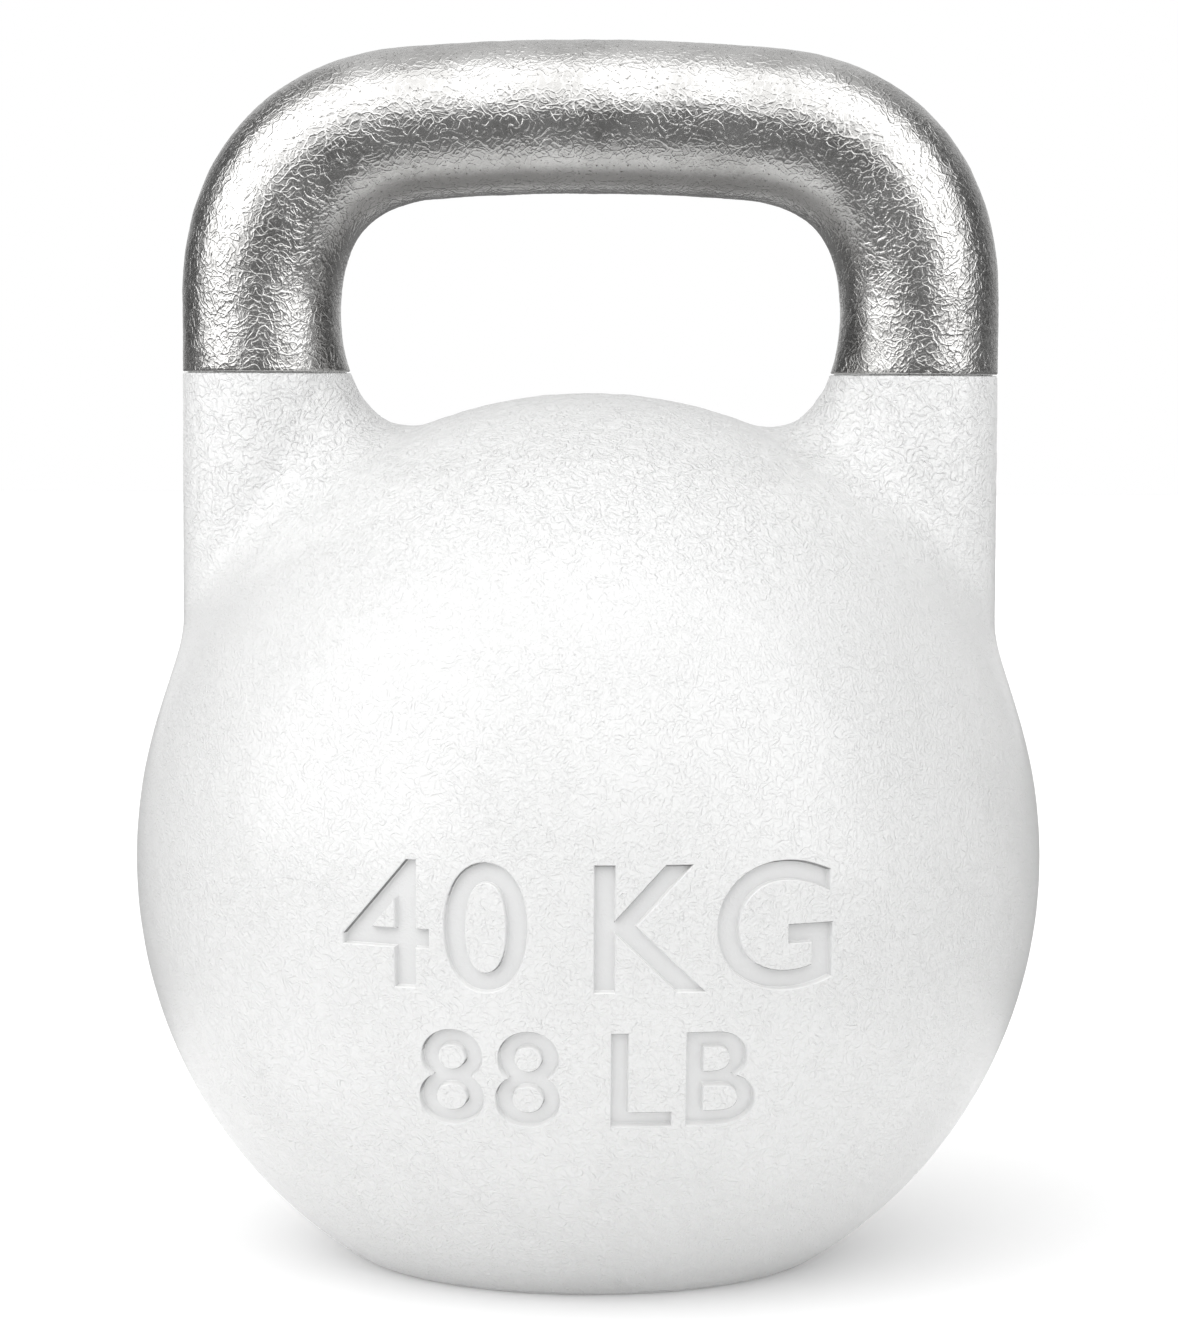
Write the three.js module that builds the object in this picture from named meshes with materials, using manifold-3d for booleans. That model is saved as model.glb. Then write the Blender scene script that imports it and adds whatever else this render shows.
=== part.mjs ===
// Competition kettlebell: a hollow cast steel bell with two socketed horns, a bent steel bar as its
// handle, a shot-and-resin filling, and a threaded plug that closes the base.
// Millimetres, +Z up. The origin is the centre of the base on the floor, and the front faces -Y.
import * as THREE from "three";
import { mergeVertices } from "three/addons/utils/BufferGeometryUtils.js";
import Module from "manifold-3d";

const wasm = await Module();
wasm.setup();

// Ball of the bell: a spheroid, slightly taller than wide, cut flat at the floor
const ballWidth = 210;
const ballFullHeight = 215.2; // of the whole spheroid, before the base is cut flat
const ballTop = 200.2; // crown of the ball above the floor
const baseEdge = 2; // break of the sharp edge round the flat base
const wall = 12;
const floorThickness = 14;

// Handle bar
const overallHeight = 281.6;
const gripDiameter = 35.3;
const bendDiameter = 37.4; // the bar swells a little where it is bent
const legDiameter = 36.6;
const legSpacing = 152.3; // between the centrelines of the two legs
const bendStart = 220.5; // height where the legs stop being straight
const crownRadius = 471; // slight arch of the grip
const crownHalfSpan = 39; // half the arched stretch, measured level
const bendEaseLeg = 0.636; // how far the bend keeps the leg's direction, as a share of its rise
const bendEaseGrip = 0.6; // and the grip's direction, as a share of its run

// Horns, and the blends that lead them into the ball
const jointHeight = 204.6; // top face of the horns, where the bare bar starts
const innerBlend = 16.3; // blend radius on the side of the hand window
const outerBlend = 50; // and on the outer side
const blendSink = 2; // how far the blend is carried into the ball's skin

// Spigot joint between handle and horn, with one M12 cap screw to each leg
const spigotDiameter = 22;
const spigotLength = 30;
const screwDiameter = 12;
const screwGrip = 19.6; // thread of the screw inside the spigot
const screwHeadDiameter = 18;
const screwHeadHeight = 12;
const screwKeyWidth = 10; // across the flats of the hexagon socket
const screwKeyDepth = 6;
const seatDiameter = 24; // spot face that the washer bears on
const seatCut = 0.5; // how far the spot face is cut into the cavity's roof, at its inner edge
const washerThickness = 2.5;
const washerDiameter = 21;
const tapRunout = 4.4; // tapped hole beyond the screw's end

// Base plug, its gasket and its locking grub screw
const plugThread = 64;
const plugLip = 8; // how far the flange stands out from the thread
const plugFlange = 3.1; // thickness of the flange
const plugRecess = 1; // the plug stays this far above the floor
const plugKeyWidth = 17;
const plugKeyDepth = 8;
const gasketThickness = 1.3;
const gasketMargin = 1.6; // between the gasket and the locking screw
const lockDiameter = 4;
const lockLength = 10;
const lockKeyWidth = 2;
const lockKeyDepth = 2.5;
const lockRecess = 0.4; // below the face of the flange

// Clearances
const gap = 0.3; // between faces that meet
const drillGap = 0.5; // round the shank of the cap screw, in radius

// Facets
const ballSides = 52;
const ballRows = 20;
const cavitySides = 36;
const cavityRows = 13;
const barSides = 24;
const barRows = 46;
const hornSides = 24;
const hornRows = 8;
const smallSides = 24;

const ballRadius = ballWidth / 2;
const ballStretch = ballFullHeight / ballWidth;
const ballCentre = ballTop - ballFullHeight / 2;
const legX = legSpacing / 2;
const legRadius = legDiameter / 2;
const cavityRadius = ballRadius - wall;
const cavityHalfHeight = ballRadius * ballStretch - wall;
const floorZ = 0;
const spigotEnd = jointHeight - spigotLength;
const socketFloor = spigotEnd - gap;
const seatZ = cavityRoof(legX - seatDiameter / 2) + seatCut;
const screwHeadTop = seatZ - washerThickness - 2 * gap;
const screwHeadBottom = screwHeadTop - screwHeadHeight;
const screwTip = spigotEnd + screwGrip;
const plugFlangeDiameter = plugThread + 2 * plugLip;
const plugFlangeTop = plugRecess + plugFlange;
const plugSeat = plugFlangeTop + gasketThickness + 2 * gap;
const plugTop = floorThickness - gap;
const lockBottom = plugRecess + lockRecess;
const lockRadiusOut = plugFlangeDiameter / 2 + gap / 2; // the grub screw sits on the joint line

const enamel = finish(0xf4f4f3, 0.38, 0.0);
const bareSteel = finish(0xa9a9a8, 0.34, 1.0);
const blackOxide = finish(0x2b2b2d, 0.5, 0.8);
const zinc = finish(0xb9bcc0, 0.4, 0.9);
const shotResin = finish(0x55585c, 0.7, 0.4);
const rubber = finish(0x1c1c1c, 0.8, 0.0);

function finish(color, roughness, metalness) {
  return new THREE.MeshStandardMaterial({ color, roughness, metalness });
}

// Height of the cavity's roof at a distance from the middle.
function cavityRoof(x) {
  return ballCentre + cavityHalfHeight * Math.sqrt(Math.max(0, 1 - (x / cavityRadius) ** 2));
}

// ---- solids and joins

function solid(geometry) {
  const bare = geometry.clone();
  bare.deleteAttribute("normal");
  bare.deleteAttribute("uv");
  const merged = mergeVertices(bare, 1e-3);
  const vertProperties = merged.attributes.position.array;
  const triVerts = new Uint32Array(merged.index.array);
  return new wasm.Manifold(new wasm.Mesh({ numProp: 3, vertProperties, triVerts }));
}

function named(name, body, material) {
  const made = body.getMesh();
  const geometry = new THREE.BufferGeometry();
  geometry.setAttribute("position", new THREE.BufferAttribute(made.vertProperties, 3));
  geometry.setIndex(new THREE.BufferAttribute(made.triVerts, 1));
  geometry.computeVertexNormals();
  const mesh = new THREE.Mesh(geometry, material);
  mesh.name = name;
  return mesh;
}

// A profile of [radius, height] pairs turned about the Z axis.
function turned(profile, sides) {
  const points = profile.map(([radius, height]) => new THREE.Vector2(radius, height));
  return new THREE.LatheGeometry(points, sides).rotateX(Math.PI / 2);
}

function rod(diameter, from, to, sides = smallSides) {
  const radius = diameter / 2;
  return solid(turned([[0, from], [radius, from], [radius, to], [0, to]], sides));
}

function ring(inner, outer, from, to, sides) {
  const section = [[inner, from], [outer, from], [outer, to], [inner, to], [inner, from]];
  return solid(turned(section, sides));
}

function hexagon(acrossFlats, from, to) {
  const outline = new THREE.Shape();
  for (let corner = 0; corner < 6; corner++) {
    const angle = (corner * Math.PI) / 3;
    const x = (Math.cos(angle) * acrossFlats) / Math.sqrt(3);
    const y = (Math.sin(angle) * acrossFlats) / Math.sqrt(3);
    if (corner === 0) outline.moveTo(x, y);
    else outline.lineTo(x, y);
  }
  const prism = new THREE.ExtrudeGeometry(outline, { depth: to - from, bevelEnabled: false });
  return solid(prism.translate(0, 0, from));
}

// Both legs carry the same fittings, the left ones turned half a turn about the Z axis.
function onBothLegs(body) {
  const right = body.translate([legX, 0, 0]);
  return right.add(right.rotate([0, 0, 180]));
}

// ---- bell

// Half the outline of a spheroid round the ball's centre, from the level of its flat to its top.
function spheroidOutline(radius, halfHeight, flatZ, rows) {
  const start = Math.asin((flatZ - ballCentre) / halfHeight);
  const outline = [[0, flatZ]];
  for (let row = 0; row < rows; row++) {
    const angle = start + ((Math.PI / 2 - start) * row) / rows;
    outline.push([radius * Math.cos(angle), ballCentre + halfHeight * Math.sin(angle)]);
  }
  outline.push([0, ballCentre + halfHeight]);
  return outline;
}

function ballOutline() {
  const outline = spheroidOutline(ballRadius, ballRadius * ballStretch, floorZ, ballRows);
  const [edge, above] = [outline[1], outline[2]];
  const length = Math.hypot(above[0] - edge[0], above[1] - edge[1]);
  const along = [(above[0] - edge[0]) / length, (above[1] - edge[1]) / length];
  const sideOf = (step) => [edge[0] + along[0] * step, edge[1] + along[1] * step];
  const rounded = [
    [edge[0] - baseEdge, floorZ],
    [(edge[0] - baseEdge + 2 * edge[0] + sideOf(baseEdge)[0]) / 4, sideOf(baseEdge)[1] / 4],
    sideOf(baseEdge),
  ];
  return [outline[0], ...rounded, ...outline.slice(2)];
}

// Centre of the blend's arc, at an angle round the leg: 0 points away from the hand window.
function blendCentre(angle) {
  const radius = THREE.MathUtils.lerp(innerBlend, outerBlend, (1 + Math.cos(angle)) / 2);
  const reach = legRadius + radius;
  const x = legX + reach * Math.cos(angle);
  const y = reach * Math.sin(angle);
  const rise = Math.sqrt(Math.max(0, (ballRadius + radius) ** 2 - x * x - y * y));
  return { radius, place: new THREE.Vector3(x, y, rise) };
}

// How far the blend stands out from the leg at a height.
function legFlare(angle, height) {
  const { radius, place } = blendCentre(angle);
  const below = place.z - (height - ballCentre) / ballStretch;
  if (below <= 0) return 0;
  return radius - Math.sqrt(Math.max(0, radius ** 2 - below ** 2));
}

// A point of the horn's skin: share runs from 0 at the joint face to 1 where the blend meets the ball.
function hornPoint(angle, share) {
  const { radius, place } = blendCentre(angle);
  const top = (jointHeight - ballCentre) / ballStretch;
  const out = new THREE.Vector3(Math.cos(angle), Math.sin(angle), 0);
  const onLeg = new THREE.Vector3(legX, 0, place.z).addScaledVector(out, legRadius);
  const onBall = place.clone().setLength(ballRadius);
  const toLeg = onLeg.clone().sub(place);
  const toBall = onBall.clone().sub(place);
  const sweep = toLeg.angleTo(toBall);
  const skipped = Math.asin(THREE.MathUtils.clamp((place.z - top) / radius, 0, 1));
  const straight = Math.max(0, top - place.z);
  const arc = radius * (sweep - skipped);
  const run = share * (straight + arc);
  if (run < straight) return new THREE.Vector3(onLeg.x, onLeg.y, top - run);
  const turn = skipped + (run - straight) / radius;
  const axis = toLeg.clone().cross(toBall).normalize();
  const swept = sweep > 0 ? turn / sweep : 1; // no sweep where the leg stands clear of the ball
  const reach = THREE.MathUtils.lerp(toLeg.length(), toBall.length(), swept);
  return place.clone().add(toLeg.applyAxisAngle(axis, turn).setLength(reach));
}

// The horn on the +X side, from the joint face down into the ball, without its socket.
function horn() {
  const geometry = new THREE.CylinderGeometry(1, 1, 1, hornSides, hornRows + 1);
  const spots = geometry.attributes.position;
  for (let index = 0; index < spots.count; index++) {
    const row = Math.round((0.5 - spots.getY(index)) * (hornRows + 1));
    const hub = Math.hypot(spots.getX(index), spots.getZ(index)) < 0.5;
    const angle = Math.atan2(-spots.getZ(index), spots.getX(index));
    const point = hornPoint(angle, Math.min(1, row / hornRows));
    if (row > hornRows) point.setLength(ballRadius - blendSink);
    if (hub) point.set(legX, 0, row === 0 ? point.z : 0);
    spots.setXYZ(index, point.x, point.y, ballCentre + point.z * ballStretch);
    if (row === 0) spots.setZ(index, jointHeight);
  }
  return solid(geometry);
}

function bellShell() {
  const hollow = spheroidOutline(cavityRadius, cavityHalfHeight, floorThickness, cavityRows);
  const cavity = solid(turned(hollow, cavitySides));
  const right = horn();
  const body = solid(turned(ballOutline(), ballSides)).add(right).add(right.rotate([0, 0, 180]));
  const socket = rod(spigotDiameter + 2 * gap, socketFloor, jointHeight + 1)
    .add(rod(screwDiameter + 2 * drillGap, seatZ - 1, socketFloor + 1))
    .add(rod(seatDiameter, ballCentre, seatZ));
  const opening = rod(plugThread + 2 * gap, floorZ - 1, floorThickness + 1, ballSides)
    .add(rod(plugFlangeDiameter + 2 * gap, floorZ - 1, plugSeat, ballSides));
  return body
    .subtract(cavity)
    .subtract(onBothLegs(socket))
    .subtract(opening)
    .subtract(lockHole());
}

// ---- handle

// Centreline of the bar, from the left joint face over the grip to the right one.
function handleLine() {
  const lean = Math.asin(crownHalfSpan / crownRadius);
  const crownTop = overallHeight - gripDiameter / 2;
  const shoulder = crownTop - crownRadius * (1 - Math.cos(lean));
  const easeUp = (shoulder - bendStart) * bendEaseLeg;
  const easeAcross = (legX - crownHalfSpan) * bendEaseGrip;
  const crownEase = (4 / 3) * Math.tan(lean / 2) * crownRadius;
  const spot = (side, x, z) => new THREE.Vector3(side * x, 0, z);
  const foot = (side) => spot(side, legX, jointHeight + gap);
  const knee = (side) => spot(side, legX, bendStart);
  const elbow = (side) => spot(side, crownHalfSpan, shoulder);
  const pull = (side, length) =>
    elbow(side).add(spot(side, Math.cos(lean) * length, -Math.sin(lean) * length));
  const bend = (side) => [
    knee(side),
    spot(side, legX, bendStart + easeUp),
    pull(side, easeAcross),
    elbow(side),
  ];
  const line = new THREE.CurvePath();
  line.add(new THREE.LineCurve3(foot(-1), knee(-1)));
  line.add(new THREE.CubicBezierCurve3(...bend(-1)));
  line.add(
    new THREE.CubicBezierCurve3(elbow(-1), pull(-1, -crownEase), pull(1, -crownEase), elbow(1)),
  );
  line.add(new THREE.CubicBezierCurve3(...bend(1).reverse()));
  line.add(new THREE.LineCurve3(knee(1), foot(1)));
  return line;
}

// Radius of the bar where its centreline is this far from the middle.
function barRadius(x) {
  const run = THREE.MathUtils.clamp((legX - Math.abs(x)) / (legX - crownHalfSpan), 0, 1);
  const share = Math.sqrt(run);
  const leg = legRadius * (1 - share) * (1 - 2 * share);
  const bend = bendDiameter * 2 * share * (1 - share);
  const grip = (gripDiameter / 2) * share * (2 * share - 1);
  return leg + bend + grip;
}

function handle() {
  const line = handleLine();
  const geometry = new THREE.CylinderGeometry(1, 1, 1, barSides, barRows);
  const spots = geometry.attributes.position;
  const depth = new THREE.Vector3(0, 1, 0);
  for (let index = 0; index < spots.count; index++) {
    const [outward, back] = [spots.getX(index), spots.getZ(index)];
    const along = THREE.MathUtils.clamp(spots.getY(index) + 0.5, 0, 1);
    const centre = line.getPointAt(along);
    const out = line.getTangentAt(along).cross(depth).normalize();
    const rim = Math.hypot(outward, back) > 0.5;
    const flare = rim && centre.z < bendStart ? legFlare(Math.atan2(back, outward), centre.z) : 0;
    const radius = barRadius(centre.x) + flare;
    centre.addScaledVector(out, outward * radius).addScaledVector(depth, back * radius);
    spots.setXYZ(index, centre.x, centre.y, centre.z);
  }
  const spigots = onBothLegs(rod(spigotDiameter, spigotEnd, jointHeight + 2 * gap));
  const taps = onBothLegs(rod(screwDiameter + 2 * gap, spigotEnd - 1, screwTip + tapRunout));
  return solid(geometry).add(spigots).subtract(taps);
}

// ---- fasteners of the handle, drawn round the leg's own axis

function capScrew() {
  const outline = [
    [0, screwHeadBottom],
    [screwHeadDiameter / 2 - 1, screwHeadBottom],
    [screwHeadDiameter / 2, screwHeadBottom + 1],
    [screwHeadDiameter / 2, screwHeadTop],
    [screwDiameter / 2, screwHeadTop],
    [screwDiameter / 2, screwTip - 1],
    [screwDiameter / 2 - 1, screwTip],
    [0, screwTip],
  ];
  const key = hexagon(screwKeyWidth, screwHeadBottom - 1, screwHeadBottom + screwKeyDepth);
  return solid(turned(outline, smallSides)).subtract(key);
}

function washer() {
  const bottom = screwHeadTop + gap;
  const bore = screwDiameter / 2 + gap;
  return ring(bore, washerDiameter / 2, bottom, bottom + washerThickness, smallSides);
}

// ---- filling

function ballast() {
  const [radius, half] = [cavityRadius - gap, cavityHalfHeight - gap];
  const outline = spheroidOutline(radius, half, floorThickness + gap, cavityRows);
  const mouth = Math.max(screwHeadDiameter, washerDiameter) + 2 * gap;
  const heads = onBothLegs(rod(mouth, screwHeadBottom - gap, seatZ + ballRadius));
  return solid(turned(outline, cavitySides)).subtract(heads);
}

// ---- base plug

function lockHole() {
  const hole = rod(lockDiameter + 2 * gap, floorZ - 1, lockBottom + lockLength + gap, 16);
  return hole.translate([0, lockRadiusOut, 0]);
}

function basePlug() {
  const [flange, thread] = [plugFlangeDiameter / 2, plugThread / 2];
  const outline = [
    [0, plugRecess],
    [flange - 0.6, plugRecess],
    [flange, plugRecess + 0.6],
    [flange, plugFlangeTop],
    [thread, plugFlangeTop],
    [thread, plugTop - 1],
    [thread - 1, plugTop],
    [0, plugTop],
  ];
  return solid(turned(outline, ballSides))
    .subtract(hexagon(plugKeyWidth, floorZ - 1, plugRecess + plugKeyDepth))
    .subtract(lockHole());
}

function plugGasket() {
  const bore = plugThread / 2 + 2 * gap;
  const rim = lockRadiusOut - lockDiameter / 2 - gasketMargin;
  const bottom = plugFlangeTop + gap;
  return ring(bore, rim, bottom, bottom + gasketThickness, cavitySides);
}

function lockScrew() {
  const key = hexagon(lockKeyWidth, lockBottom - 1, lockBottom + lockKeyDepth);
  return rod(lockDiameter, lockBottom, lockBottom + lockLength, 16).subtract(key);
}

// ---- assembly

const kettlebell = new THREE.Group();
kettlebell.add(named("bell_shell", bellShell(), enamel));
kettlebell.add(named("handle", handle(), bareSteel));
kettlebell.add(named("ballast_fill", ballast(), shotResin));
kettlebell.add(named("base_plug", basePlug(), blackOxide));
kettlebell.add(named("plug_gasket", plugGasket(), rubber));

for (const [side, turn] of [["right", 0], ["left", Math.PI]]) {
  const leg = new THREE.Group();
  leg.rotation.z = turn;
  const fittings = new THREE.Group();
  fittings.position.x = legX;
  fittings.add(named(`${side}_handle_screw`, capScrew(), blackOxide));
  fittings.add(named(`${side}_screw_washer`, washer(), zinc));
  leg.add(fittings);
  kettlebell.add(leg);
}

const lock = named("plug_lock_screw", lockScrew(), blackOxide);
lock.position.y = lockRadiusOut;
kettlebell.add(lock);

export default kettlebell;
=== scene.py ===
import math

import bmesh
import bpy
import numpy as np
from mathutils import Matrix, Vector


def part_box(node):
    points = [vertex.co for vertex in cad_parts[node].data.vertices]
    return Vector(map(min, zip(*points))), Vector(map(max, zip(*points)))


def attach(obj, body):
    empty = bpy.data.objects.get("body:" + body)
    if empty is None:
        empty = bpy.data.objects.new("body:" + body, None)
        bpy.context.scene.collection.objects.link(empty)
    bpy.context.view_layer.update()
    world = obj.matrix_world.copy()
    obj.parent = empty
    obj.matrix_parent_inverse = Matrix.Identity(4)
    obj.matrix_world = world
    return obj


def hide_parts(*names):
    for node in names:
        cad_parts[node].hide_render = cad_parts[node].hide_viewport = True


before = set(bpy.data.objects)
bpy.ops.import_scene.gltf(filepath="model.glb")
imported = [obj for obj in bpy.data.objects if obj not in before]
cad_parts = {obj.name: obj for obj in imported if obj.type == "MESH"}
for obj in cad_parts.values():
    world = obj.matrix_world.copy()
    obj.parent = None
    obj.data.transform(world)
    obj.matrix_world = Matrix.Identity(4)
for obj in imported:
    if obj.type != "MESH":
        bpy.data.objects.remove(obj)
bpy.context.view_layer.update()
print("frame loaded")

# Places that every piece shares, in metres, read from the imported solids.
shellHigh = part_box("bell_shell")[1]
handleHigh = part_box("handle")[1]
screwLow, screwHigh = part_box("right_handle_screw")
plugLow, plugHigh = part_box("base_plug")
lockLow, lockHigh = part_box("plug_lock_screw")

mm = 0.001
gap = 0.3 * mm  # between faces that touch on the real object
ballRadius = shellHigh.x
jointHeight = shellHigh.z
legX = (screwLow.x + screwHigh.x) / 2
legRadius = handleHigh.x - legX
screwRadius = 6 * mm  # of the cap screws' shanks
lockPlace = ((lockLow.x + lockHigh.x) / 2, (lockLow.y + lockHigh.y) / 2)


cameraSetup = {
    "place": (0.0, -0.95, 0.2048),
    "pitch": -4.12,  # degrees, below level
    "roll": 0.245,
    "lens": 110.1,
    "sensor": 36.0,
}


def makeCamera():
    data = bpy.data.cameras.new("camera")
    data.lens = cameraSetup["lens"]
    data.sensor_width = cameraSetup["sensor"]
    data.clip_start = 0.02
    data.clip_end = 60.0
    camera = bpy.data.objects.new("camera", data)
    bpy.context.scene.collection.objects.link(camera)
    level = Matrix.Rotation(math.radians(90 + cameraSetup["pitch"]), 4, "X")
    lean = Matrix.Rotation(math.radians(cameraSetup["roll"]), 4, "Z")
    camera.matrix_world = Matrix.Translation(cameraSetup["place"]) @ level @ lean
    bpy.context.scene.camera = camera


makeCamera()
print("camera placed")


def makePiece(name, mesh, materialSlot=None, replaced=None):
    piece = bpy.data.objects.new(name, mesh)
    bpy.context.scene.collection.objects.link(piece)
    if materialSlot:
        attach(piece, "root")
    if replaced:
        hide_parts(replaced)
    return piece


def meshFrom(name, vertices, faces):
    mesh = bpy.data.meshes.new(name)
    mesh.from_pydata([tuple(v) for v in vertices], [], [tuple(f) for f in faces])
    mesh.validate()
    mesh.update()
    return mesh


def faceOut(mesh):
    work = bmesh.new()
    work.from_mesh(mesh)
    bmesh.ops.recalc_face_normals(work, faces=work.faces[:])
    work.to_mesh(mesh)
    work.free()
    return mesh


# Rings of equal count joined into a closed skin; a ring may shrink to one point at either end.
def ringMesh(name, rings):
    count = len(rings[0])
    vertices = np.concatenate(rings)
    around = np.arange(count)
    onward = (around + 1) % count
    faces = []
    for k in range(len(rings) - 1):
        low, high = k * count, (k + 1) * count
        faces += np.stack([low + around, low + onward, high + onward, high + around], 1).tolist()
    last = (len(rings) - 1) * count
    faces.append(list(range(count)))
    faces.append([last + i for i in range(count)])
    return faceOut(meshFrom(name, vertices, faces))


def turnedMesh(name, profile, sides, centre=(0.0, 0.0)):
    angles = np.linspace(0, 2 * math.pi, sides, endpoint=False)
    rings = []
    for radius, height in profile:
        ring = np.stack([
            centre[0] + radius * np.cos(angles),
            centre[1] + radius * np.sin(angles),
            np.full(sides, height),
        ], 1)
        rings.append(ring)
    return ringMesh(name, rings)


def setMesh(piece, mesh):
    old = piece.data
    piece.data = mesh
    bpy.data.meshes.remove(old)


# Cuts the tool's shape out of the piece; the cut faces keep the tool's material index.
def carve(piece, toolMesh, materialIndex):
    toolMesh.materials.clear()
    for material in piece.data.materials:
        toolMesh.materials.append(material)
    for polygon in toolMesh.polygons:
        polygon.material_index = materialIndex
    tool = makePiece("tool", toolMesh)
    cut = piece.modifiers.new("carve", "BOOLEAN")
    cut.operation = "DIFFERENCE"
    cut.solver = "MANIFOLD"
    cut.material_mode = "INDEX"
    cut.object = tool
    bpy.context.view_layer.update()
    evaluated = piece.evaluated_get(bpy.context.evaluated_depsgraph_get())
    result = bpy.data.meshes.new_from_object(evaluated)
    piece.modifiers.clear()
    setMesh(piece, result)
    bpy.data.objects.remove(tool)
    bpy.data.meshes.remove(toolMesh)


def numbersOf(items, field, width=3):
    values = np.zeros(len(items) * width)
    items.foreach_get(field, values)
    return values.reshape(-1, width)


# A smooth random swell of about unit size with one main wavelength, the same on every run.
def swell(points, wavelength, seed, waves=36):
    draw = np.random.default_rng(seed)
    direction = draw.normal(size=(waves, 3))
    direction /= np.linalg.norm(direction, axis=1)[:, None]
    pace = 2 * math.pi / wavelength * draw.uniform(0.75, 1.3, waves)
    phase = draw.uniform(0, 2 * math.pi, waves)
    return np.sin(points @ (direction * pace[:, None]).T + phase).sum(1) * math.sqrt(2 / waves)


def smoothStep(value, low, high):
    t = np.clip((value - low) / (high - low), 0, 1)
    return t * t * (3 - 2 * t)


# Shape of the cast skin: a ball and two legs, melted together.
skinShape = {
    "centreHeight": 92.6 * mm,
    "halfHeight": 107.6 * mm,
    "innerBlend": (0.67, 20.8 * mm, 1.625),  # weight of the ball, reach, hardness, on the window's side
    "outerBlend": (2.25, 7.35 * mm, 2.0),  # the same on the outside
    "legStart": 105 * mm,  # below this height the legs have no pull
    "ballSwell": (0.016 * mm, 8 * mm),  # height and wavelength of the cast unevenness
    "hornSwell": (0.032 * mm, 5 * mm),
}


def plainSkin(p):
    x, y, z = np.abs(p[:, 0]), p[:, 1], p[:, 2] - skinShape["centreHeight"]
    wide, tall = ballRadius, skinShape["halfHeight"]
    around = x * x + y * y
    reach = np.sqrt(around / wide**2 + z * z / tall**2)
    slope = np.sqrt(around / wide**4 + z * z / tall**4)
    ball = (reach - 1) * reach / np.maximum(slope, 1e-9)
    away = np.maximum(np.hypot(x - legX, y), 1e-9)
    leg = away - legRadius + 2 * np.maximum(skinShape["legStart"] - p[:, 2], 0)
    outward = (1 + (x - legX) / away) / 2
    inner, outer = skinShape["innerBlend"], skinShape["outerBlend"]
    weight, blend, hardness = (i + (o - i) * outward for i, o in zip(inner, outer))
    ball = ball * weight
    near = np.maximum(blend - np.abs(ball - leg), 0) / blend
    return np.minimum(ball, leg) - blend * near**hardness / (2 * hardness)


def skin(p):
    horn = smoothStep(p[:, 2], 150 * mm, 185 * mm)
    ballHeight, ballWave = skinShape["ballSwell"]
    hornHeight, hornWave = skinShape["hornSwell"]
    uneven = ballHeight * (1 - horn) * swell(p, ballWave, 3) + hornHeight * horn * swell(p, hornWave, 4)
    return plainSkin(p) - uneven


def slopeOf(shape, p, step=0.05 * mm):
    columns = []
    for axis in range(3):
        move = np.zeros(3)
        move[axis] = step
        columns.append((shape(p + move) - shape(p - move)) / (2 * step))
    return np.stack(columns, 1)


# Moves points onto the skin; with level=True each stays at its own height.
def ontoSkin(p, shape=skin, rounds=5, level=False):
    p = p.copy()
    for _ in range(rounds):
        slope = slopeOf(shape, p)
        if level:
            slope[:, 2] = 0
        size = np.maximum((slope * slope).sum(1), 0.05)
        p -= slope * (np.clip(shape(p), -2 * mm, 2 * mm) / size)[:, None]
    return p


bell = {
    "roughSides": 96,  # of the plain ball and legs that the skin starts from
    "roughLegSides": 48,
    "roughLegStart": 130 * mm,
    "spare": 10 * mm,  # how far the legs first run past the joint, to be cut off there
    "voxel": 1.75 * mm,
    "snap": 0.38,  # points within this share of a voxel move to a cutting height
    "relaxRounds": 10,
    "rimRound": 0.45 * mm,
    "rimSteps": 4,
    # a land inside the rim all but meets the handle, so no light shows through the joint
    "landInset": 1.1 * mm,
    "landHeight": 0.27 * mm,
    "baseEdge": 2 * mm,
    "baseFlat": 51.5 * mm,
    "baseSteps": 6,
    "cavity": (93 * mm, 95.6 * mm),
    "floorHeight": 14 * mm,
    "counterbore": (40.3 * mm, 6 * mm),
    "opening": 32.3 * mm,
    "socket": (11.3 * mm, 174.3 * mm),
    "screwHole": 6.5 * mm,
    "seat": (12 * mm, 162.32 * mm),
    "lockHole": (2.3 * mm, 11.7 * mm),
    "sharp": 34,  # edges above this many degrees stay crisp
    # points this close to the skin, on faces this square to it, take the skin's own normal
    "onSkin": 0.03 * mm,
    "facing": 0.985,
    "overrun": 1 * mm,  # how far a cutting tool runs past the faces it cuts through
    "cavitySides": 144,
    "boreSides": 128,
    "socketSides": 64,
    "holeSides": 48,
    "lockSides": 32,
}


def roughBell():
    centre, tall = skinShape["centreHeight"], skinShape["halfHeight"]
    angles = np.linspace(-math.pi / 2, math.pi / 2, 60)[1:-1]
    ballProfile = [(ballRadius * math.cos(a), centre + tall * math.sin(a)) for a in angles]
    meshes = [turnedMesh("ball", ballProfile, bell["roughSides"])]
    for side in (-1, 1):
        profile = [(legRadius, bell["roughLegStart"]), (legRadius, jointHeight + bell["spare"])]
        meshes.append(turnedMesh("leg", profile, bell["roughLegSides"], (side * legX, 0)))
    work = bmesh.new()
    for mesh in meshes:
        work.from_mesh(mesh)
        bpy.data.meshes.remove(mesh)
    rough = bpy.data.meshes.new("bell_shell")
    work.to_mesh(rough)
    work.free()
    return rough


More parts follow.
